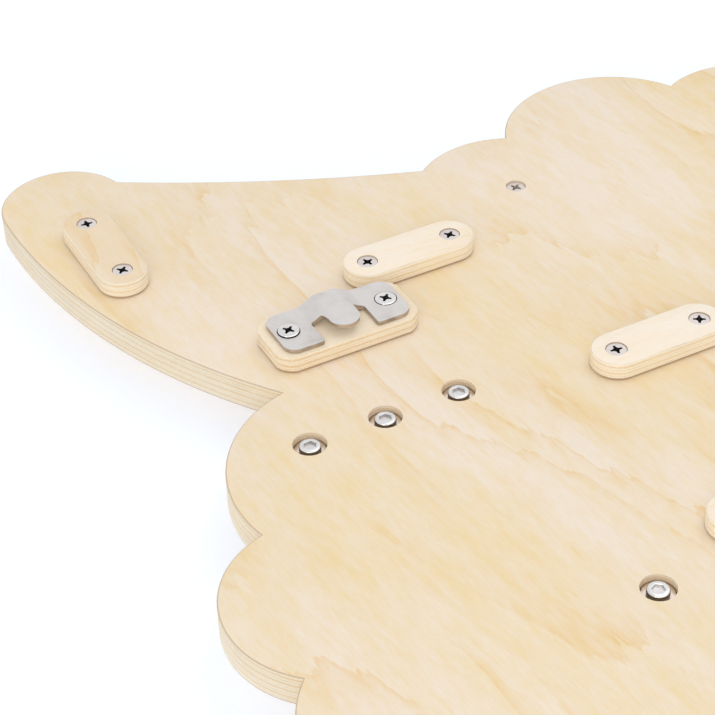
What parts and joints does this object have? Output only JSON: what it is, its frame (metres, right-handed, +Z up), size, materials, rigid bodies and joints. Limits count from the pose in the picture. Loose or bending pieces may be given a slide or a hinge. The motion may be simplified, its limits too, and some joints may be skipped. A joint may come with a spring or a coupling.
{
  "type": "busy board",
  "caption": "Wall busy board: a plywood panel sawn to a fluffy eared animal head, with spinning wooden discs and scalloped wheels in front and steel hangers on its back.",
  "frame": {"origin": "on the board's middle line, level with the hanger screws, in the plane of the panel's back face: midway between the two hangers that hold the board up", "axes": "+Z up as the board hangs, -Y out of its front, +Y to the wall, +X to the right as the front is seen"},
  "size_m": [0.52, 0.0372, 0.4833],
  "materials": {
    "plywood": "pale birch plywood, clear satin varnish",
    "beech": "turned and oiled",
    "satin_steel": "satin stainless sheet",
    "bright_steel": "bright plate"
  },
  "bodies": {
    "board": {"board_panel": "plywood", "ear_block_left": "plywood", "ear_block_right": "plywood", "upper_block_left": "plywood", "upper_block_right": "plywood", "middle_block_left": "plywood", "middle_block_right": "plywood", "lower_block_left": "plywood", "lower_block_right": "plywood", "hanger_pad_left": "plywood", "hanger_pad_right": "plywood", "forelock_plate": "plywood", "hanger_bracket_left": "satin_steel", "hanger_bracket_right": "satin_steel", "hanger_screw_left_1": "bright_steel", "hanger_screw_left_2": "bright_steel", "hanger_screw_right_1": "bright_steel", "hanger_screw_right_2": "bright_steel", "ear_block_left_screw_1": "bright_steel", "ear_block_left_screw_2": "bright_steel", "ear_block_right_screw_1": "bright_steel", "ear_block_right_screw_2": "bright_steel", "upper_block_left_screw_1": "bright_steel", "upper_block_left_screw_2": "bright_steel", "upper_block_right_screw_1": "bright_steel", "upper_block_right_screw_2": "bright_steel", "middle_block_left_screw_1": "bright_steel", "middle_block_left_screw_2": "bright_steel", "middle_block_right_screw_1": "bright_steel", "middle_block_right_screw_2": "bright_steel", "lower_block_left_screw_1": "bright_steel", "lower_block_left_screw_2": "bright_steel", "lower_block_right_screw_1": "bright_steel", "lower_block_right_screw_2": "bright_steel", "forelock_screw_left": "bright_steel", "forelock_screw_right": "bright_steel", "bolt_small_disc_inner": "bright_steel", "bolt_small_disc_middle": "bright_steel", "bolt_small_disc_outer": "bright_steel", "bolt_large_disc": "bright_steel", "bolt_scalloped_wheel_left": "bright_steel", "bolt_scalloped_wheel_right": "bright_steel", "washer_small_disc_inner": "bright_steel", "washer_small_disc_middle": "bright_steel", "washer_small_disc_outer": "bright_steel", "washer_large_disc": "bright_steel", "washer_scalloped_wheel_left": "bright_steel", "washer_scalloped_wheel_right": "bright_steel", "nut_small_disc_inner": "bright_steel", "nut_small_disc_middle": "bright_steel", "nut_small_disc_outer": "bright_steel", "nut_large_disc": "bright_steel", "nut_scalloped_wheel_left": "bright_steel", "nut_scalloped_wheel_right": "bright_steel"},
    "inner_disc": {"small_disc_inner": "beech"},
    "middle_disc": {"small_disc_middle": "beech"},
    "outer_disc": {"small_disc_outer": "beech"},
    "big_disc": {"large_disc": "beech"},
    "left_wheel": {"scalloped_wheel_left": "plywood"},
    "right_wheel": {"scalloped_wheel_right": "plywood"}
  },
  "joints": [
    {"name": "inner_disc_spin", "type": "hinge", "parent": "board", "child": "inner_disc", "pos_m": [0.13849, -0.0183, -0.04941], "axis": [0, -1, 0], "continuous": true},
    {"name": "middle_disc_spin", "type": "hinge", "parent": "board", "child": "middle_disc", "pos_m": [0.16739, -0.0183, -0.04941], "axis": [0, -1, 0], "continuous": true},
    {"name": "outer_disc_spin", "type": "hinge", "parent": "board", "child": "outer_disc", "pos_m": [0.19629, -0.0183, -0.04941], "axis": [0, -1, 0], "continuous": true},
    {"name": "big_disc_spin", "type": "hinge", "parent": "board", "child": "big_disc", "pos_m": [-0.16739, -0.0183, -0.04941], "axis": [0, -1, 0], "continuous": true},
    {"name": "left_wheel_spin", "type": "hinge", "parent": "board", "child": "left_wheel", "pos_m": [-0.13359, -0.0193, -0.16432], "axis": [0, -1, 0], "continuous": true},
    {"name": "right_wheel_spin", "type": "hinge", "parent": "board", "child": "right_wheel", "pos_m": [0.13359, -0.0193, -0.16432], "axis": [0, -1, 0], "continuous": true}
  ]
}
